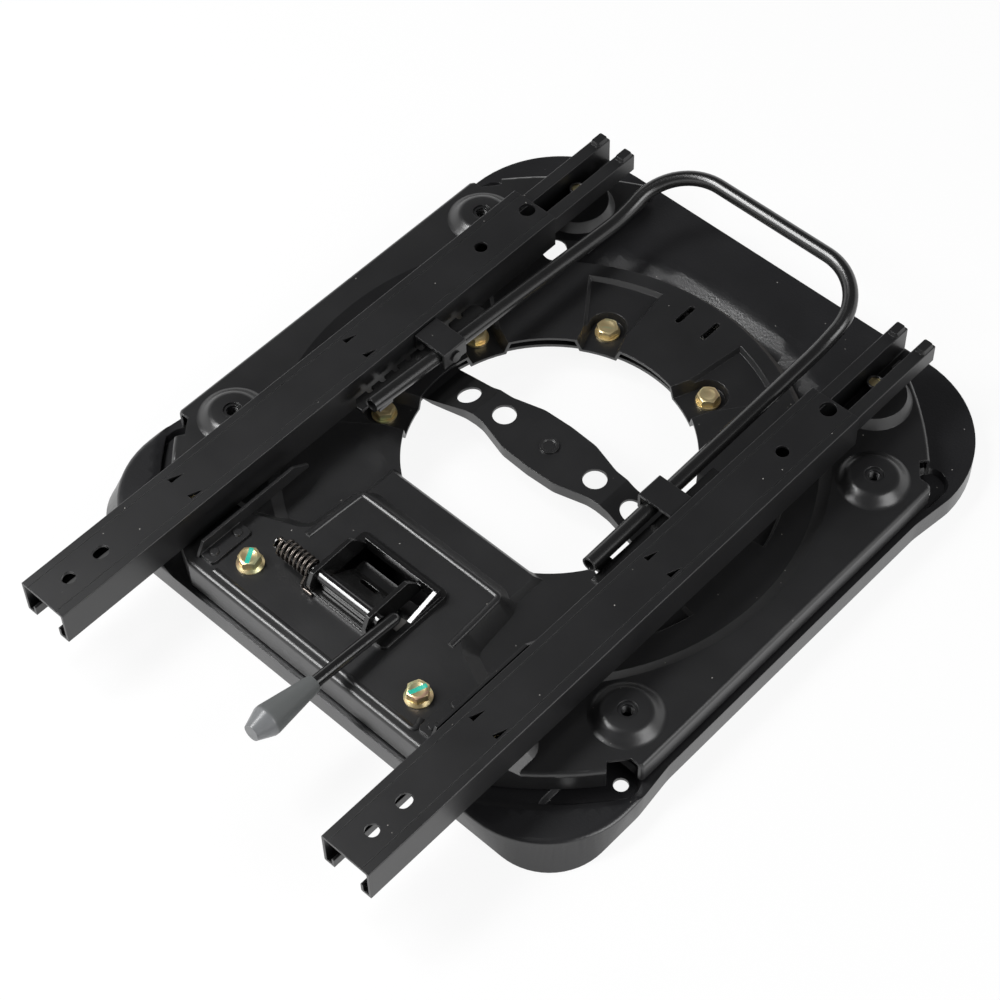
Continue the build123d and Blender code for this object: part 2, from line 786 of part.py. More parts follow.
# Upright stays beside the near ends of the rails, each with a foot riveted to the front panel
stay_x = 100.0
stay_top = panel_top + 11.0
stay_rivet_y = (-205.0, -185.0)
for side, name in ((-1, "rail_stay_left"), (1, "rail_stay_right")):
    with BuildPart() as rail_stay:
        with BuildSketch(Plane.YZ.offset(side * (stay_x + 1))):
            with BuildLine():
                Polyline(
                    (-214, panel_top),
                    (-208, stay_top),
                    (-130, stay_top),
                    (-118, panel_top + 3),
                    (-118, panel_top + 0.5),
                    (-172, panel_top),
                    close=True,
                )
            make_face()
        extrude(amount=-side * sheet)
        with BuildSketch(Plane.XY.offset(panel_top)):
            with Locations((side * (stay_x - 5.5), -195)):
                RectangleRounded(13, 34, 3)
            with Locations(*[(side * (stay_x - 6), y) for y in stay_rivet_y]):
                Circle(2.1, mode=Mode.SUBTRACT)
        extrude(amount=sheet)
    rail_stay.part.label = name
    export_step(rail_stay.part, f"parts/{name}.step")
with BuildPart() as stay_rivets:
    with BuildSketch(Plane.XY.offset(panel_top + sheet)):
        with Locations(*[(side * (stay_x - 6), y) for side in (-1, 1) for y in stay_rivet_y]):
            Circle(3.4)
    extrude(amount=1.4, taper=30)
    with BuildSketch(Plane.XY.offset(panel_top)):
        with Locations(*[(side * (stay_x - 6), y) for side in (-1, 1) for y in stay_rivet_y]):
            Circle(2)
    extrude(amount=sheet)
stay_rivets.part.label = "stay_rivets"
export_step(stay_rivets.part, "parts/stay_rivets.step")

# Upper rails that carry the seat, with seat holes and lanced stops
seat_hole_y = (-288.4, 74.1)
adjust_slot_y = -262.6
access_hole_y = 119.5
lance_y = (-193.0, -40.0)
for side, name in ((-1, "upper_rail_left"), (1, "upper_rail_right")):
    upper_far = upper_near + upper_length
    with BuildPart() as upper_rail:
        with BuildSketch(Plane((side * rail_x, upper_far, 0), x_dir=(1, 0, 0), z_dir=(0, -1, 0))):
            add(upper_profile.sketch)
        extrude(amount=upper_length)
        with BuildSketch(Plane.XY.offset(rail_top - rail_sheet)):
            with Locations(*[(side * rail_x, y) for y in seat_hole_y]):
                Circle(4.5)
            with Locations((side * rail_x, adjust_slot_y)):
                SlotOverall(11, 9, rotation=90)
            with Locations((side * rail_x, access_hole_y)):
                Circle(5.75)
            for y in lance_y:
                for x in (-9.1, 9.1):
                    with BuildLine():
                        Polyline(
                            (side * rail_x + x - 2, y - 5),
                            (side * rail_x + x + 2, y - 5),
                            (side * rail_x + x + 2, y + 5),
                            close=True,
                        )
                    make_face()
        extrude(amount=rail_sheet, mode=Mode.SUBTRACT)
    upper_rail.part.label = name
    export_step(upper_rail.part, f"parts/{name}.step")

# Balls between the rails, on the lips above and in the curls below, and the strips that space them
row_near = -105.0
row_pitch = 10.0
row_count = 13
lip_ball_x = 13.6
foot_ball_x = 14.6
lip_ball_z = lower_lip + running + lip_ball
foot_ball_z = rail_bottom + rail_sheet + running + foot_ball
row_middle = row_near + row_pitch * (row_count - 1) / 2
row_length = row_pitch * row_count
for side, end in ((-1, "left"), (1, "right")):
    with BuildPart() as rail_balls:
        with Locations(*[(side * rail_x + x, row_middle, lip_ball_z) for x in (-lip_ball_x, lip_ball_x)]):
            with GridLocations(row_pitch, row_pitch, 1, row_count):
                Sphere(lip_ball)
        with Locations(*[(side * rail_x + x, row_middle, foot_ball_z) for x in (-foot_ball_x, foot_ball_x)]):
            with GridLocations(row_pitch, row_pitch, 1, row_count):
                Sphere(foot_ball)
    rail_balls.part.label = f"rail_balls_{end}"
    export_step(rail_balls.part, f"parts/rail_balls_{end}.step")
    with BuildPart() as rail_cage:
        with BuildSketch(Plane.XY.offset(lip_ball_z - 0.7)):
            for x in (-lip_ball_x, lip_ball_x):
                with Locations((side * rail_x + x, row_middle)):
                    Rectangle(5.8, row_length)
                    with GridLocations(row_pitch, row_pitch, 1, row_count):
                        Circle(lip_ball + 0.1, mode=Mode.SUBTRACT)
        extrude(amount=1.4)
    rail_cage.part.label = f"rail_cage_{end}"
    export_step(rail_cage.part, f"parts/rail_cage_{end}.step")

# Course of the release bar and its pivot on the two upper rails
leg_end = (93.0, -66.0, 61.0)
leg_kink = (86.0, 170.0, 54.0)
bar_corner = (bar_inset + 51.0, 222.0, 70.0)
pivot_y = 0.7
pivot_share = (pivot_y - leg_end[1]) / (leg_kink[1] - leg_end[1])
pivot_x = leg_end[0] + (leg_kink[0] - leg_end[0]) * pivot_share
pivot_z = leg_end[2] + (leg_kink[2] - leg_end[2]) * pivot_share
pin_radius = 2.5
with BuildPart() as release_bar:
    with BuildLine() as bar_course:
        FilletPolyline(
            (-leg_end[0], leg_end[1], leg_end[2]),
            (-leg_kink[0], leg_kink[1], leg_kink[2]),
            (-bar_corner[0], bar_corner[1], bar_corner[2]),
            bar_corner,
            leg_kink,
            leg_end,
            radius=(90, 40, 40, 90),
        )
    with BuildSketch(Plane(bar_course.line @ 0, z_dir=bar_course.line % 0)):
        Circle(bar_radius)
        Circle(bar_bore, mode=Mode.SUBTRACT)
    sweep()
    with BuildSketch(Plane.YZ):
        with Locations((pivot_y, pivot_z)):
            Circle(pin_radius + running)
    extrude(amount=rail_x, both=True, mode=Mode.SUBTRACT)
release_bar.part.label = "release_bar"
export_step(release_bar.part, "parts/release_bar.step")

# Clips on the upper rails that hold the release bar, and its pivot pins
clip_length = 20.0
clip_gap = 1.3
clip_wall = rail_x - half_width
clip_under = pivot_z + bar_radius + clip_gap
clip_leg = pivot_x - bar_radius - clip_gap
clip_low = pivot_z - pin_radius - 2
for side, end in ((-1, "left"), (1, "right")):
    with BuildPart() as bar_clip:
        with BuildSketch(Plane((0, pivot_y + clip_length / 2, 0), x_dir=(side, 0, 0), z_dir=(0, -side, 0))):
            with BuildLine():
                Polyline(
                    (clip_wall, clip_low),
                    (clip_wall, clip_under + sheet),
                    (clip_leg - sheet, clip_under + sheet),
                    (clip_leg - sheet, clip_low),
                    (clip_leg, clip_low),
                    (clip_leg, clip_under),
                    (clip_wall - sheet, clip_under),
                    (clip_wall - sheet, clip_low),
                    close=True,
                )
            make_face()
        extrude(amount=side * clip_length)
        fillet(bar_clip.edges().filter_by(Axis.Y).group_by(Axis.Z)[-1], radius=1.5)
        with BuildSketch(Plane.YZ):
            with Locations((pivot_y, pivot_z)):
                Circle(pin_radius + running)
        extrude(amount=side * rail_x, mode=Mode.SUBTRACT)
    bar_clip.part.label = f"bar_clip_{end}"
    export_step(bar_clip.part, f"parts/bar_clip_{end}.step")
    with BuildPart() as bar_pin:
        with BuildSketch(Plane.YZ.offset(side * (clip_leg - sheet))):
            with Locations((pivot_y, pivot_z)):
                Circle(pin_radius)
        extrude(amount=side * (clip_wall - clip_leg + sheet))
        with BuildSketch(Plane.YZ.offset(side * (clip_leg - sheet))):
            with Locations((pivot_y, pivot_z)):
                Circle(pin_radius + 1.5)
        extrude(amount=-side * 1.5)
    bar_pin.part.label = f"bar_pin_{end}"
    export_step(bar_pin.part, f"parts/bar_pin_{end}.step")

# Latch plates welded under the legs of the release bar, toothed along the rail side
latch_near = -70.0
latch_far = 45.0
latch_top = 55.2
latch_sheet = 2.5
latch_in = 98.0
latch_out = 107.5
tab_near = -62.0
tab_far = -50.0
for side, end in ((-1, "left"), (1, "right")):
    with BuildPart() as latch_plate:
        with BuildSketch(Plane.XY.offset(latch_top - latch_sheet)):
            with BuildLine():
                Polyline(
                    (side * latch_out, latch_near + 4),
                    (side * (latch_out - 4), latch_near),
                    (side * latch_in, latch_near),
                    (side * latch_in, tab_near),
                    (side * 90, tab_near),
                    (side * 90, tab_far),
                    (side * latch_in, tab_far),
                    (side * latch_in, latch_far),
                    (side * (latch_out - 4), latch_far),
                    (side * latch_out, latch_far - 4),
                    close=True,
                )
            make_face()
            with Locations((side * latch_out, (latch_near + latch_far) / 2)):
                with GridLocations(1, 12, 1, 8):
                    RectangleRounded(6, 5, 1.5, mode=Mode.SUBTRACT)
        extrude(amount=latch_sheet)
    latch_plate.part.label = f"latch_plate_{end}"
    export_step(latch_plate.part, f"parts/latch_plate_{end}.step")

# Lock bracket on the front panel: frame round the window, two ears, rear upstand and gusset
bracket_half = 36.0
bracket_near = -186.0
bracket_far = -130.0
bracket_sheet = 3.0
bracket_top = panel_top + bracket_sheet
ear_left = -31.0
ear_right = 17.0
upstand = -138.5
shaft_bore = shaft_radius + running
with BuildPart() as lock_bracket:
    with BuildSketch(Plane.XY.offset(panel_top)):
        with Locations((0, (bracket_near + bracket_far) / 2)):
            RectangleRounded(2 * bracket_half, bracket_far - bracket_near, 4)
        with Locations((0, (window_near + upstand) / 2)):
            Rectangle(2 * window_half, upstand - window_near, mode=Mode.SUBTRACT)
    extrude(amount=bracket_sheet)
    for ear in (ear_left, ear_right):
        with BuildSketch(Plane.YZ.offset(ear)):
            with BuildLine():
                Polyline(
                    (bracket_near, panel_top),
                    (bracket_near, panel_top + 9),
                    (lock_y - 5, lock_z + 6),
                    (lock_y + 28, lock_z + 7),
                    (lock_y + 32, lock_z + 3),
                    (upstand + 1, bracket_top),
                    (upstand + 1, panel_top),
                    close=True,
                )
            make_face()
        extrude(amount=bracket_sheet)
    with BuildSketch(Plane.XZ.offset(-upstand)):
        with Locations((3, panel_top + 5)):
            Rectangle(62, 10)
    extrude(amount=-bracket_sheet)
    with BuildSketch(Plane.YZ.offset(bracket_half - 5)):
        with BuildLine():
            Polyline(
                (upstand + 1, panel_top),
                (upstand + 1, panel_top + 10),
                (-162, bracket_top),
                (-162, panel_top),
                close=True,
            )
        make_face()
    extrude(amount=bracket_sheet)
    with BuildSketch(Plane.YZ):
        with Locations((lock_y, lock_z)):
            Circle(shaft_bore)
    extrude(amount=bracket_half, both=True, mode=Mode.SUBTRACT)
lock_bracket.part.label = "lock_bracket"
export_step(lock_bracket.part, "parts/lock_bracket.step")

# Shaft of the lock, flat end against the lever rod
shaft_left = -66.0
rod_radius = 4.0
shaft_right = lever_x - rod_radius
with BuildPart() as lock_shaft:
    with BuildSketch(Plane.YZ.offset(shaft_left)):
        with Locations((lock_y, lock_z)):
            Circle(shaft_radius)
    extrude(amount=shaft_right - shaft_left)
    chamfer(lock_shaft.edges().group_by(Axis.X)[0], length=0.8)
    with BuildSketch(Plane.XY.offset(lock_z)):
        with Locations((shaft_left + 3, lock_y)):
            Rectangle(2.4, 3 * shaft_radius)
    extrude(amount=shaft_radius + 1, mode=Mode.SUBTRACT)
lock_shaft.part.label = "lock_shaft"
export_step(lock_shaft.part, "parts/lock_shaft.step")

# Flap welded under the shaft, folded down into the tooth that drops into the base slot
flap_left = -24.0
flap_right = 13.0
flap_sheet = 3.0
flap_top = lock_z - shaft_radius
with BuildPart() as lock_flap:
    with BuildSketch(Plane.YZ.offset(flap_left)):
        with BuildLine():
            Polyline(
                (lock_y - 3, flap_top),
                (lock_y + 8, flap_top),
                (tooth_y - 6, flap_top - 11),
                (tooth_y + tooth_half, flap_top - 11),
                (tooth_y + tooth_half, flap_top - 20),
                (tooth_y - tooth_half, flap_top - 20),
                (tooth_y - tooth_half, flap_top - 14),
                (tooth_y - 7, flap_top - 14),
                (lock_y + 6.5, flap_top - flap_sheet),
                (lock_y - 3, flap_top - flap_sheet),
                close=True,
            )
        make_face()
    extrude(amount=flap_right - flap_left)
    with BuildSketch(Plane.XY.offset(tooth_tip)):
        with Locations((tooth_centre, tooth_y)):
            Rectangle(tooth_width, tooth_thickness)
    extrude(amount=flap_top - 12 - tooth_tip)
    chamfer(lock_flap.edges().group_by(Axis.Z)[0], length=0.6)
    with BuildSketch(Plane.XY.offset(flap_top - 20)):
        with Locations((tooth_centre, tooth_y - 12)):
            SlotOverall(15, 4)
    extrude(amount=20, mode=Mode.SUBTRACT)
lock_flap.part.label = "lock_flap"
export_step(lock_flap.part, "parts/lock_flap.step")

# Lever rod welded across the end of the shaft and the soft knob pressed on it
rod_behind = 11.0
rod_reach = 96.0
knob_start = 60.0
knob_wide = 96.0
knob_end = 110.5
lean = math.radians(lever_angle)
lever_plane = Plane(
    (lever_x, lock_y, lock_z),
    x_dir=(1, 0, 0),
    z_dir=(0, -math.cos(lean), math.sin(lean)),
)
with BuildPart() as lever_rod:
    with BuildSketch(lever_plane.offset(-rod_behind)):
        Circle(rod_radius)
    extrude(amount=rod_behind + rod_reach)
    fillet(lever_rod.edges().group_by(Axis.Y)[-1], radius=rod_radius * 0.9)
lever_rod.part.label = "lever_rod"
export_step(lever_rod.part, "parts/lever_rod.step")
knob_plane = Plane((lever_x, lock_y, lock_z), x_dir=(1, 0, 0), z_dir=(0, math.sin(lean), math.cos(lean)))
with BuildPart() as lever_knob:
    with BuildSketch(knob_plane) as lever_knob_profile:
        with BuildLine():
            Polyline(
                (rod_radius, -knob_start),
                (5.6, -knob_start),
                (10.2, -knob_wide),
                (10.2, -knob_wide - 3),
                (5.6, -knob_end),
                (0, -knob_end),
                (0, -rod_reach),
                (rod_radius, -rod_reach),
                close=True,
            )
        make_face()
        fillet(lever_knob_profile.vertices().filter_by(lambda v: v.X > 9), radius=2)
    revolve(axis=Axis((lever_x, lock_y, lock_z), (0, -math.cos(lean), math.sin(lean))))
lever_knob.part.label = "lever_knob"
export_step(lever_knob.part, "parts/lever_knob.step")

# Return spring round the shaft, one leg in the shaft slot and one hooked on the bracket ear
wire_radius = 1.0
coil_radius = 6.0
coil_left = -60.0
coil_right = -34.0
coil_turns = 7.25
hook_y = bracket_near - wire_radius - 0.1
coil_front = lock_y - coil_radius
with BuildPart() as lock_spring:
    with BuildLine() as coil_course:
        Helix(
            pitch=(coil_right - coil_left) / coil_turns,
            height=coil_right - coil_left,
            radius=coil_radius,
            center=(coil_left, lock_y, lock_z),
            direction=(1, 0, 0),
        )
    with BuildSketch(Plane(coil_course.line @ 0, z_dir=coil_course.line % 0)):
        Circle(wire_radius)
    sweep(is_frenet=True)
    for course in (
        (
            (coil_right, coil_front, lock_z),
            (coil_right, hook_y, lock_z - 4),
            (coil_right, hook_y, panel_top + 2.2),
            (coil_right + 8, hook_y, panel_top + 2.2),
        ),
        (
            (coil_left, lock_y, lock_z + coil_radius),
            (shaft_left + 3, lock_y, lock_z + coil_radius),
            (shaft_left + 3, lock_y, lock_z + 1.6),
        ),
    ):
        with BuildLine() as leg_course:
            FilletPolyline(*course, radius=1.2)
        with BuildSketch(Plane(leg_course.line @ 0, z_dir=leg_course.line % 0)):
            Circle(wire_radius)
        sweep()
        with Locations(course[0]):
            Sphere(wire_radius)
lock_spring.part.label = "lock_spring"
export_step(lock_spring.part, "parts/lock_spring.step")
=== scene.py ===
import math

import bmesh
import bpy
from mathutils import Matrix, Quaternion, Vector


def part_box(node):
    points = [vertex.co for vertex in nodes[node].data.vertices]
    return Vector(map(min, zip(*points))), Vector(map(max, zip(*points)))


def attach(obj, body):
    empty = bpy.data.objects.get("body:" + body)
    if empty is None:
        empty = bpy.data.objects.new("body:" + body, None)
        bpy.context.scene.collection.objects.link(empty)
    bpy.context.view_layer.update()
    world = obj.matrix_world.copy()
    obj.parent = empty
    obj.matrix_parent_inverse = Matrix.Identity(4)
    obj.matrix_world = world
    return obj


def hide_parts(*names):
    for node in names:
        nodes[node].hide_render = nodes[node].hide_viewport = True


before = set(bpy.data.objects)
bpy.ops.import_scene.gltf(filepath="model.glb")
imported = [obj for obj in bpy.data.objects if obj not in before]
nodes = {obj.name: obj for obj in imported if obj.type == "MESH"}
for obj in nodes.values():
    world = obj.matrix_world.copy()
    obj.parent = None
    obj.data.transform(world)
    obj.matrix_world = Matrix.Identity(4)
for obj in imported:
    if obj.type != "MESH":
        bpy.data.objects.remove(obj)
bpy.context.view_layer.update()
mm = 0.001

# The camera looks down over the front right corner of the seat base through a long lens,
# with a slight roll to the left.
camera_place = Vector((0.6792, -0.7361, 1.3104))
camera_aim = Vector((0.0030, -0.0497, 0.0300))
camera_roll = math.radians(-1.97)
camera = bpy.data.objects.new("camera", bpy.data.cameras.new("camera"))
bpy.context.collection.objects.link(camera)
camera.location = camera_place
camera.rotation_mode = "QUATERNION"
level = (camera_aim - camera_place).to_track_quat("-Z", "Y")
camera.rotation_quaternion = level @ Quaternion((0, 0, 1), camera_roll)
camera.data.sensor_width = 36
camera.data.lens = 91.0
bpy.context.scene.camera = camera
bpy.context.scene.view_settings.view_transform = "Standard"


class Wire:
    """A socket in a node tree, which takes part in sums with numbers and with other sockets."""

    def __init__(self, tree, socket=None):
        self.tree = tree
        self.socket = socket

    def add(self, kind, settings=None, sockets=None, out=0):
        """Makes a node: its settings first, then the values or links of its sockets."""
        node = self.tree.nodes.new("ShaderNode" + kind)
        for name, value in (settings or {}).items():
            if name == "stops":
                while len(node.color_ramp.elements) < len(value):
                    node.color_ramp.elements.new(1.0)
                for element, (position, colour) in zip(node.color_ramp.elements, value):
                    element.position = position
                    element.color = colour
            else:
                setattr(node, name, value)
        for name, value in (sockets or {}).items():
            if isinstance(value, Wire):
                self.tree.links.new(value.socket, node.inputs[name])
            else:
                node.inputs[name].default_value = value
        return Wire(self.tree, node.outputs[out]) if node.outputs else None

    def sum(self, operation, *values):
        return self.add("Math", {"operation": operation}, dict(enumerate(values)))

    def __add__(self, other):
        return self.sum("ADD", self, other)

    __radd__ = __add__

    def __sub__(self, other):
        return self.sum("SUBTRACT", self, other)

    def __rsub__(self, other):
        return self.sum("SUBTRACT", other, self)

    def __mul__(self, other):
        return self.sum("MULTIPLY", self, other)

    __rmul__ = __mul__

    def __abs__(self):
        return self.sum("ABSOLUTE", self)

    def __gt__(self, other):
        return self.sum("GREATER_THAN", self, other)

    def __lt__(self, other):
        return self.sum("LESS_THAN", self, other)

    def ease(self, low, high):
        """0 below low and 1 above high, with a soft change between them."""
        ends = {"Value": self, "From Min": low, "From Max": high}
        return self.add("MapRange", {"interpolation_type": "SMOOTHSTEP"}, ends)

    def tint(self, off, on):
        """The colour off where this socket is 0 and the colour on where it is 1."""
        return self.add("Mix", {"data_type": "RGBA"}, {0: self, 6: off, 7: on}, out=2)

    def noise(self, scale, detail=2.0, roughness=0.5, distortion=0.0):
        """A cloudy field over this socket's coordinates, from 0 to 1."""
        sockets = {"Vector": self, "Scale": scale, "Detail": detail}
        sockets |= {"Roughness": roughness, "Distortion": distortion}
        return self.add("TexNoise", {}, sockets)

    def parts(self):
        """The X, Y and Z of this socket."""
        return [self.add("SeparateXYZ", {}, {0: self}, out=axis) for axis in range(3)]


# The studio is a white floor under a dim ceiling that pales towards the horizon. A square softbox
# hangs to the front left, a broad one on the right, and a small one high up for the glare.
floor_radius = 30
floor_drop = 0.5 * mm
floor_glow = 0.9
floor_mesh = bmesh.new()
bmesh.ops.create_circle(floor_mesh, cap_ends=True, segments=64, radius=floor_radius)
bmesh.ops.translate(floor_mesh, vec=(0, 0, -floor_drop), verts=floor_mesh.verts)
floor_data = bpy.data.meshes.new("studio_floor")
floor_mesh.to_mesh(floor_data)
floor_mesh.free()
floor = bpy.data.objects.new("studio_floor", floor_data)
bpy.context.collection.objects.link(floor)
floor_paint = bpy.data.materials.new("floor_white")
floor_paint.use_nodes = True
floor_paint.node_tree.nodes.clear()
start = Wire(floor_paint.node_tree)
seen = start.add("LightPath", out="Is Camera Ray") + start.add("LightPath", out="Is Glossy Ray")
seen = seen + start.add("LightPath", out="Is Transmission Ray")
lit = start.add("BsdfDiffuse", {}, {"Color": (0.9, 0.9, 0.9, 1)})
white = start.add("Emission", {}, {"Color": (1, 1, 1, 1), "Strength": 1.0})
floor_shade = start.add("MixShader", {}, {0: seen * floor_glow, 1: lit, 2: white})
start.add("OutputMaterial", {}, {"Surface": floor_shade})
floor_data.materials.append(floor_paint)

world = bpy.data.worlds.new("studio")
world.use_nodes = True
world.node_tree.nodes.clear()
bpy.context.scene.world = world
start = Wire(world.node_tree)
height = start.add("TexCoord", out="Generated").parts()[2]
ceiling = height.ease(0.30, 0.55).tint((1.0, 1.0, 1.0, 1), (0.055, 0.055, 0.058, 1))
start.add("OutputWorld", {}, {"Surface": start.add("Background", {}, {"Color": ceiling})})


def softbox(name, direction, distance, width, power):
    """A square lamp that hangs in that direction from the object and faces it."""
    lamp = bpy.data.lights.new(name, "AREA")
    lamp.size = width
    lamp.energy = power
    hung = bpy.data.objects.new(name, lamp)
    bpy.context.collection.objects.link(hung)
    hung.location = Vector(direction).normalized() * distance
    hung.rotation_mode = "QUATERNION"
    hung.rotation_quaternion = (-Vector(direction)).to_track_quat("-Z", "Y")


softbox("key_light", (-0.42, -0.50, 0.72), 1.6, 0.6, 15)
softbox("fill_light", (0.80, 0.10, 0.60), 2.2, 1.2, 20)
softbox("glare_light", (-0.42, -0.22, 0.87), 1.7, 0.35, 9)


# The base plate is pressed from black painted steel sheet and bolts to the vehicle's seat box.
# Its raised track carries the balls, and the paint on it is thick and slightly orange-peeled.
# The solid's corners are tighter than the pressed ones, so a shell with rounder corners shows it.
def blank_material(name):
    """An empty material, and the start of its node tree."""
    material = bpy.data.materials.new(name)
    material.use_nodes = True
    material.node_tree.nodes.clear()
    return material, Wire(material.node_tree)


def coat(start, **sockets):
    """Ends a material in one Principled shader with these sockets."""
    names = {name.replace("_", " "): value for name, value in sockets.items()}
    start.add("OutputMaterial", {}, {"Surface": start.add("BsdfPrincipled", {}, names)})


def black_paint(name, colour, roughness, gloss, peel, peel_size, dust=1.0, edge=0.6 * mm):
    """Baked black paint: orange peel, faint smudges, rounded edges, and dust on what faces up."""
    material, start = blank_material(name)
    place = start.add("TexCoord", out="Object")
    facing_up = start.add("NewGeometry", out="Normal").parts()[2].ease(0.5, 0.8)
    smudge = place.noise(16, 5, 0.6)
    dust_cells = {"Vector": place, "Scale": 210}
    speck_size = 0.085
    speck_share = 0.07 * dust
    cell = start.add("TexVoronoi", {}, dust_cells, out="Distance")
    chance = start.add("TexVoronoi", {}, dust_cells, out="Color").parts()[0]
    speck = (cell < speck_size) * (chance > 1 - speck_share) * facing_up
    tone = smudge.tint([c * 0.75 for c in colour] + [1], [c * 1.3 for c in colour] + [1])
    rounded = start.add("Bevel", {"samples": 4}, {"Radius": edge})
    peeled = place.noise(1 / peel_size, 2, 0.45)
    bump = {"Strength": peel, "Distance": 0.2 * mm, "Height": peeled, "Normal": rounded}
    coat(
        start,
        Base_Color=speck.tint(tone, (0.30, 0.29, 0.27, 1)),
        Roughness=roughness + 0.14 * (smudge - 0.5) + 0.3 * speck,
        Specular_IOR_Level=gloss,
        Normal=start.add("Bump", {}, bump),
    )
    return material


def dress(material, *names):
    """Puts a finish on CAD nodes."""
    for name in names:
        nodes[name].data.materials.clear()
        nodes[name].data.materials.append(material)


def new_piece(name, shape, material, body, sharp=35):
    """Makes a finished bmesh a piece that rides on a body, smooth but for its sharp edges."""
    bmesh.ops.remove_doubles(shape, verts=shape.verts, dist=0.001 * mm)
    bmesh.ops.recalc_face_normals(shape, faces=shape.faces)
    for face in shape.faces:
        face.smooth = True
    for edge in shape.edges:
        edge.smooth = edge.is_manifold and edge.calc_face_angle() < math.radians(sharp)
    mesh = bpy.data.meshes.new(name)
    shape.to_mesh(mesh)
    shape.free()
    mesh.materials.append(material)
    piece = bpy.data.objects.new(name, mesh)
    bpy.context.collection.objects.link(piece)
    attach(piece, body)
    return piece


base_paint = black_paint("base_paint", (0.011, 0.011, 0.012), 0.30, 0.8, 0.42, 1.6 * mm)
base_low, base_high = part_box("base_plate")
solid_corner = 42 * mm
far_corner = 80 * mm
near_corner = 64 * mm
plateau = 16 * mm
hump_share = 0.45
pull_start = 0.6
pull_fade = 0.35
corner_cuts = 10


def soften(spot):
    """Flattens the hump at a point of the base, and draws it in where a corner is rounder."""
    if spot.z > plateau:
        spot.z = plateau + hump_share * (spot.z - plateau)
    far = spot.y > 0
    soft = far_corner if far else near_corner
    end = abs(base_high.y if far else base_low.y)
    out_x = abs(spot.x) - (base_high.x - soft)
    out_y = abs(spot.y) - (end - soft)
    if min(out_x, out_y) <= 0:
        return
    reach = math.hypot(out_x, out_y)
    along = Vector((out_x / reach, out_y / reach))
    old_reach = soft / max(along)
    straight = soft - solid_corner
    if min(along) * old_reach > straight:
        lean_in = straight * (along.x + along.y)
        old_reach = lean_in + math.sqrt(lean_in ** 2 - 2 * straight ** 2 + solid_corner ** 2)
    share = min(1, max(0, (reach / old_reach - pull_start) / pull_fade))
    share = share * share * (3 - 2 * share) * (1 if far else min(1, spot.z / plateau))
    drawn_in = share * (1 - soft / old_reach)
    spot.x -= math.copysign(out_x * drawn_in, spot.x)
    spot.y -= math.copysign(out_y * drawn_in, spot.y)


base_shape = bmesh.new()
base_shape.from_mesh(nodes["base_plate"].data)
bmesh.ops.remove_doubles(base_shape, verts=base_shape.verts, dist=0.001 * mm)
cuts = []
for step in range(corner_cuts):
    left = 1 - step / corner_cuts
    for side in (-1, 1):
        cuts.append(((side * (base_high.x - far_corner * left), 0, 0), (1, 0, 0)))
    cuts.append(((0, base_high.y - far_corner * left, 0), (0, 1, 0)))
    cuts.append(((0, base_low.y + near_corner * left, 0), (0, 1, 0)))
for place, across in cuts:
    geom = [*base_shape.verts, *base_shape.edges, *base_shape.faces]
    bmesh.ops.bisect_plane(base_shape, geom=geom, plane_co=place, plane_no=across)
for vert in base_shape.verts:
    soften(vert.co)
base_shell = new_piece("base_shell", base_shape, base_paint, "base", 40)
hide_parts("base_plate")


# The bearing is a ring of steel balls in a plastic cage, between the base track and a turned race
# ring. A pressed ring bolted below reaches under the track, with a plastic slide ring between.
def steel(name, colour, roughness, grain=0.1):
    """Bare machined steel with a fine grain and an oily, cloudy sheen."""
    material, start = blank_material(name)
    place = start.add("TexCoord", out="Object")
    cloud = place.noise(60, 4, 0.6)
    fine = place.noise(1500, 2, 0.5)
    tone = cloud.tint([c * 0.8 for c in colour] + [1], [min(1, c * 1.15) for c in colour] + [1])
    bump = {"Strength": grain, "Distance": 0.1 * mm, "Height": fine}
    coat(
        start,
        Base_Color=tone,
        Metallic=1.0,
        Roughness=roughness + 0.15 * (cloud - 0.5),
        Normal=start.add("Bump", {}, bump),
    )
    return material


def plastic(name, colour, roughness, grain=0.25):
    """Moulded plastic with a fine spark-eroded grain."""
    material, start = blank_material(name)
    place = start.add("TexCoord", out="Object")
    cloud = place.noise(40, 3, 0.5)
    fine = place.noise(1800, 2, 0.6)
    tone = cloud.tint([c * 0.9 for c in colour] + [1], [c * 1.08 for c in colour] + [1])
    bump = {"Strength": grain, "Distance": 0.1 * mm, "Height": fine}
    coat(
        start,
        Base_Color=tone,
        Roughness=roughness + 0.1 * (fine - 0.5),
        Normal=start.add("Bump", {}, bump),
    )
    return material


ball_steel = steel("ball_steel", (0.62, 0.62, 0.64), 0.16)
race_steel = steel("race_steel", (0.24, 0.23, 0.22), 0.36, 0.3)
dress(ball_steel, "bearing_balls", "rail_balls_left", "rail_balls_right")
dress(race_steel, "race_ring")
cage_black = plastic("cage_black", (0.03, 0.03, 0.03), 0.5)
dress(cage_black, "ball_cage", "rail_cage_left", "rail_cage_right")
dress(plastic("slide_white", (0.70, 0.69, 0.64), 0.45), "slide_ring")


# The swivel plate is one large pressing: a round step down to the ring, a raised front panel with
# two beads, four bosses with rounded shoulders round their nuts, and the bolt pads. Its paint is
# smoother than the base's.
plate_paint = black_paint("plate_paint", (0.012, 0.012, 0.0125), 0.33, 0.75, 0.16, 2.2 * mm)
dress(plate_paint, "swivel_plate", "retaining_ring", "centre_strap", "strap_rivets", "boss_nuts")
dress(plate_paint, "strap_stud", "panel_nuts", "rail_nuts")
dress(plate_paint, "rail_stay_left", "rail_stay_right", "stay_rivets")


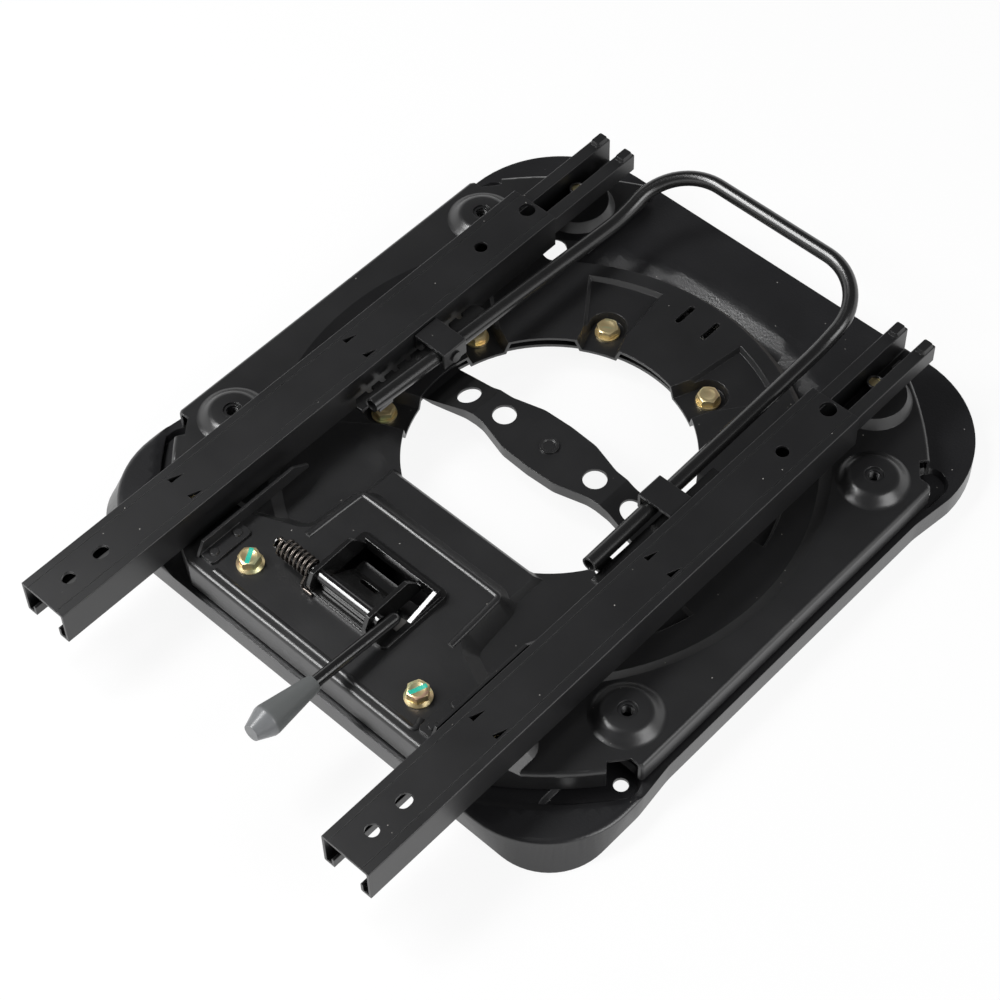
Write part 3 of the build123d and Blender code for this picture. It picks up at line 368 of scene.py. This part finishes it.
def thread(shape, radius, depth, pitch, low, high, steps=20):
    """A helical ridge on a shank, or inside a bore where the depth is negative."""
    foot = 0.42 * pitch
    corners = [shape.verts.new((radius, 0, low + foot))]
    corners.append(shape.verts.new((radius + depth, 0, low)))
    corners.append(shape.verts.new((radius, 0, low - foot)))
    start_face = shape.faces.new(corners)
    turns = (high - low) / pitch
    bmesh.ops.spin(
        shape,
        geom=[start_face, *start_face.edges, *start_face.verts],
        cent=(0, 0, 0),
        axis=(0, 0, 1),
        dvec=(0, 0, pitch / steps),
        angle=math.tau * turns,
        steps=round(turns * steps),
    )


def stamp(shape, part, place):
    """Adds a copy of one shape to another, at that place."""
    mesh = bpy.data.meshes.new("stamp")
    part.to_mesh(mesh)
    count = len(shape.verts)
    shape.from_mesh(mesh)
    bpy.data.meshes.remove(mesh)
    shape.verts.ensure_lookup_table()
    bmesh.ops.transform(shape, matrix=place, verts=shape.verts[count:])


boss_x = 170 * mm
boss_y = 118 * mm
pitch = 1.25 * mm
nut_low, nut_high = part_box("boss_nuts")
bore = 4.28 * mm
thread_depth = 0.62 * mm
one_thread = bmesh.new()
thread(one_thread, bore, -thread_depth, pitch, nut_low.z + 0.9 * mm, nut_high.z - 1.1 * mm)
boss_threads = bmesh.new()
for x in (-boss_x, boss_x):
    for y in (-boss_y, boss_y):
        stamp(boss_threads, one_thread, Matrix.Translation((x, y, 0)))
one_thread.free()
new_piece("boss_threads", boss_threads, plate_paint, "turntable")

shoulder_foot = nut_high.z + 0.3 * mm
shoulder = ((6.3, 0.0), (6.3, 0.7), (13.5, 0.7), (15.6, 0.35), (17.0, -0.55), (19.2, -2.45),
            (21.2, -4.3), (22.6, -5.2), (24.2, -5.75), (25.8, -5.95))
boss_skins = bmesh.new()
one_skin = bmesh.new()
points = []
for radius, rise in shoulder:
    points.append(one_skin.verts.new((radius * mm, 0, shoulder_foot + rise * mm)))
edges = [one_skin.edges.new(pair) for pair in zip(points, points[1:])]
bmesh.ops.spin(
    one_skin,
    geom=points + edges,
    cent=(0, 0, 0),
    axis=(0, 0, 1),
    angle=math.tau,
    steps=64,
    use_merge=True,
)
for x in (-boss_x, boss_x):
    for y in (-boss_y, boss_y):
        stamp(boss_skins, one_skin, Matrix.Translation((x, y, 0)))
one_skin.free()
new_piece("boss_skins", boss_skins, plate_paint, "turntable", 60)


def bead(name, course, width, height, foot):
    """A pressed bead along a course of (x, y) points on a sheet at height foot."""
    line = bpy.data.curves.new(name + "_line", "CURVE")
    line.dimensions = "3D"
    spline = line.splines.new("NURBS")
    spline.points.add(len(course) - 1)
    for point, (x, y) in zip(spline.points, course):
        point.co = (x * mm, y * mm, 0, 1)
    spline.order_u = 3
    spline.use_endpoint_u = True
    spline.resolution_u = 8
    line.bevel_depth = width / 2
    line.bevel_resolution = 4
    line.use_fill_caps = True
    drawn = bpy.data.objects.new(name + "_line", line)
    mesh = bpy.data.meshes.new_from_object(drawn)
    bpy.data.objects.remove(drawn)
    shape = bmesh.new()
    shape.from_mesh(mesh)
    bpy.data.meshes.remove(mesh)
    for vert in shape.verts:
        vert.co.z = foot + vert.co.z * 2 * height / width
    return new_piece(name, shape, plate_paint, "turntable", 50)


panel_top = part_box("rail_stay_left")[0].z
bead_back = -109.8
half_lock = [(61.5, -156), (60.8, -135), (59.6, -116), (59.2, -110.5), (54, bead_back)]
lock_course = [(-x, y) for x, y in half_lock] + [(0, bead_back)] + half_lock[::-1]
bead("lock_bead", lock_course, 5 * mm, 1.4 * mm, panel_top)
bead_front = -213.5
front_course = [(x, bead_front) for x in (-85, -40, 0, 60, 80, 86)]
front_course += [(86.5, -210), (84.5, -205)]
bead("front_bead", front_course, 4.5 * mm, 1.3 * mm, panel_top)


# Six hexagon bolts with washers and nuts clamp the plate to the ring below. They are yellow zinc,
# a pale gold that shifts to pink and green, and they are modelled with chamfers and threads.
def yellow_zinc(name, marks=()):
    """Yellow passivated zinc, and dabs of turquoise inspection paint where marks are given."""
    material, start = blank_material(name)
    place = start.add("TexCoord", out="Object")
    cloud = place.noise(130, 3, 0.6)
    shift = place.noise(70, 2, 0.5, 1.0)
    gold = cloud.tint((0.62, 0.45, 0.19, 1), (0.83, 0.72, 0.44, 1))
    tone = shift.ease(0.52, 0.70).tint(gold, (0.60, 0.62, 0.36, 1))
    tone = shift.ease(0.42, 0.26).tint(tone, (0.74, 0.48, 0.33, 1))
    metallic = 0.8
    rough = 0.34 + 0.2 * (cloud - 0.5)
    painted = 0.0
    for spot, angle, width in marks:
        turned = {"vector_type": "TEXTURE"}
        local = {"Vector": place, "Location": spot, "Rotation": (0, 0, angle)}
        along, across, up = start.add("Mapping", turned, local).parts()
        ragged = 0.7 * mm * (place.noise(900, 2) - 0.5)
        stripe = (abs(across + ragged) < width) * (abs(along) < 6.0 * mm) * (up > 0)
        painted = stripe + painted
    if marks:
        tone = painted.tint(tone, (0.02, 0.45, 0.33, 1))
        metallic = metallic * (1 - painted)
        rough = rough + 0.2 * painted
    bump = {"Strength": 0.2, "Distance": 0.1 * mm, "Height": place.noise(1200)}
    coat(
        start,
        Base_Color=tone,
        Metallic=metallic,
        Roughness=rough,
        Normal=start.add("Bump", {}, bump),
    )
    return material


def turn(shape, profile, steps=48):
    """Spins (radius, height) points round the Z axis; the ends of the profile lie on the axis."""
    points = [shape.verts.new((radius, 0, height)) for radius, height in profile]
    edges = [shape.edges.new(pair) for pair in zip(points, points[1:])]
    bmesh.ops.spin(
        shape,
        geom=points + edges,
        cent=(0, 0, 0),
        axis=(0, 0, 1),
        angle=math.tau,
        steps=steps,
        use_merge=True,
    )
    bmesh.ops.remove_doubles(shape, verts=shape.verts, dist=0.0001 * mm)


def hexagon(shape, profile, flats):
    """Turns a blank and cuts six flats on it, as on a bolt head or a nut."""
    blank = bmesh.new()
    turn(blank, profile)
    for side in range(6):
        out = Vector((math.cos(side * math.pi / 3), math.sin(side * math.pi / 3), 0))
        cut = bmesh.ops.bisect_plane(
            blank,
            geom=[*blank.verts, *blank.edges, *blank.faces],
            plane_co=out * flats / 2,
            plane_no=out,
            clear_outer=True,
        )
        rim = [edge for edge in cut["geom_cut"] if isinstance(edge, bmesh.types.BMEdge)]
        bmesh.ops.edgenet_fill(blank, edges=rim)
    stamp(shape, blank, Matrix.Identity(4))
    blank.free()


flats = 13 * mm
corner = flats / 2 / math.cos(math.pi / 6)
shank = 4 * mm
point = 0.7 * mm
washer_face = 0.47 * flats
face_step = 0.2 * mm
run_out = 1.2 * mm
shank_skin = shank - 0.05 * mm


def head_profile(foot, top):
    """A hexagon head's blank: a dished flat top with a 30 degree chamfer round it."""
    dish = top - 0.25 * mm
    foot += face_step
    drop = (corner - washer_face) * math.tan(math.radians(30))
    return [(0, dish), (0.30 * flats, dish), (0.34 * flats, top), (washer_face, top),
            (corner, top - drop), (corner, foot), (0, foot)]


ring_bolt_circle = 115 * mm
ring_angles = (22.5, 67.5, 112.5, 157.5, 202.5, 337.5)
bolt_low, bolt_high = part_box("ring_bolts")
washer_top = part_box("ring_washers")[1].z
nut_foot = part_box("ring_nuts")[0].z
zinc = yellow_zinc("zinc")
one_bolt = bmesh.new()
hexagon(one_bolt, head_profile(washer_top, bolt_high.z), flats)
turn(one_bolt, [(0, washer_top + face_step), (washer_face, washer_top + face_step),
                (washer_face, washer_top), (shank, washer_top), (shank, bolt_low.z + point),
                (shank - point, bolt_low.z), (0, bolt_low.z)])
thread(one_bolt, shank_skin, 0.2 * mm, pitch, bolt_low.z + run_out, nut_foot)
ring_bolts = bmesh.new()
for angle in ring_angles:
    out = Matrix.Translation((ring_bolt_circle, 0, 0))
    stamp(ring_bolts, one_bolt, Matrix.Rotation(math.radians(angle), 4, "Z") @ out)
one_bolt.free()
ring_bolts_zinc = new_piece("ring_bolts_zinc", ring_bolts, zinc, "turntable")
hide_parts("ring_bolts")
dress(zinc, "ring_washers", "ring_nuts", "rail_screws")


# Two flange bolts hold the front panel, each with a stripe of turquoise paint that marks it as
# tightened. The flange is forged with the head and pressed on the black paint.
panel_bolt_x = 72.4 * mm
panel_bolt_y = -194.9 * mm
panel_low, panel_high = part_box("panel_bolts")
flange_top = panel_top + 1.4 * mm
spot_height = panel_high.z - 1.2 * mm
marked = yellow_zinc(
    "zinc_marked",
    (
        ((-panel_bolt_x, panel_bolt_y, spot_height), math.radians(-60), 1.5 * mm),
        ((panel_bolt_x, panel_bolt_y, spot_height), math.radians(-110), 1.5 * mm),
    ),
)
one_bolt = bmesh.new()
hexagon(one_bolt, head_profile(flange_top, panel_high.z), flats)
flange = 9.0 * mm
collar = flange_top + 0.9 * mm
turn(one_bolt, [(0, collar), (corner - 0.6 * mm, collar), (8.4 * mm, flange_top - 0.2 * mm),
                (flange, flange_top - 0.7 * mm), (flange, panel_top), (shank, panel_top),
                (shank, panel_low.z + point), (shank - point, panel_low.z), (0, panel_low.z)])
nut_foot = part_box("panel_nuts")[0].z
thread(one_bolt, shank_skin, 0.2 * mm, pitch, panel_low.z + run_out, nut_foot)
panel_bolts = bmesh.new()
for x, twist in ((-panel_bolt_x, 12), (panel_bolt_x, 38)):
    place = Matrix.Translation((x, panel_bolt_y, 0)) @ Matrix.Rotation(math.radians(twist), 4, "Z")
    stamp(panel_bolts, one_bolt, place)
one_bolt.free()
panel_bolts_zinc = new_piece("panel_bolts_zinc", panel_bolts, marked, "turntable")
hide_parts("panel_bolts")


# The slide rails are rolled from strip and dipped black: the lower ones are screwed to the swivel
# plate, the upper ones run round them on rows of small balls and carry the seat.
rail_black = (0.009, 0.009, 0.0095)
rail_coat = black_paint("rail_coat", rail_black, 0.36, 0.6, 0.10, 2.8 * mm, 1.6, 0.45 * mm)
dress(rail_coat, "lower_rail_left", "lower_rail_right", "upper_rail_left", "upper_rail_right")


# The release bar is bent steel tube in gloss black. It turns on pins in two clips that are
# welded to the upper rails, and a toothed latch plate is welded under each of its legs.
bar_paint = black_paint("bar_paint", (0.010, 0.010, 0.010), 0.24, 0.8, 0.08, 2.5 * mm, 0.3)
dress(bar_paint, "release_bar", "latch_plate_left", "latch_plate_right")
dress(rail_coat, "bar_clip_left", "bar_clip_right", "bar_pin_left", "bar_pin_right")


# The swivel lock sits on the front panel: a bracket with two ears, a shaft with a tooth flap,
# a return spring, and the lever rod with its knob. It is dipped in thick gloss black.
lock_paint = black_paint("lock_paint", (0.008, 0.008, 0.008), 0.16, 0.9, 0.25, 3.0 * mm, 0.6)
dress(lock_paint, "lock_bracket", "lock_shaft", "lock_flap", "lever_rod")

spring_steel, start = blank_material("spring_steel")
place = start.add("TexCoord", out="Object")
cloud = place.noise(160, 3, 0.6)
bump = {"Strength": 0.15, "Distance": 0.1 * mm, "Height": place.noise(1500)}
coat(
    start,
    Base_Color=cloud.tint((0.05, 0.044, 0.040, 1), (0.21, 0.185, 0.165, 1)),
    Metallic=0.9,
    Roughness=0.26,
    Normal=start.add("Bump", {}, bump),
)
dress(spring_steel, "lock_spring")

knob_grey, start = blank_material("knob_grey")
lean = math.radians(5)
place = start.add("TexCoord", out="Object")
local = {"Vector": place, "Location": (28 * mm, -177 * mm, 52 * mm), "Rotation": (-lean, 0, 0)}
reach = -1 * start.add("Mapping", {"vector_type": "TEXTURE"}, local).parts()[1]
tip = reach.ease(97.0 * mm, 99.5 * mm)
fine = place.noise(1500, 2, 0.6)
bump = {"Strength": 0.3, "Distance": 0.1 * mm, "Height": fine * (1 - tip)}
coat(
    start,
    Base_Color=tip.tint((0.085, 0.09, 0.09, 1), (0.16, 0.165, 0.17, 1)),
    Roughness=0.62 - 0.32 * tip,
    Normal=start.add("Bump", {}, bump),
)
dress(knob_grey, "lever_knob")
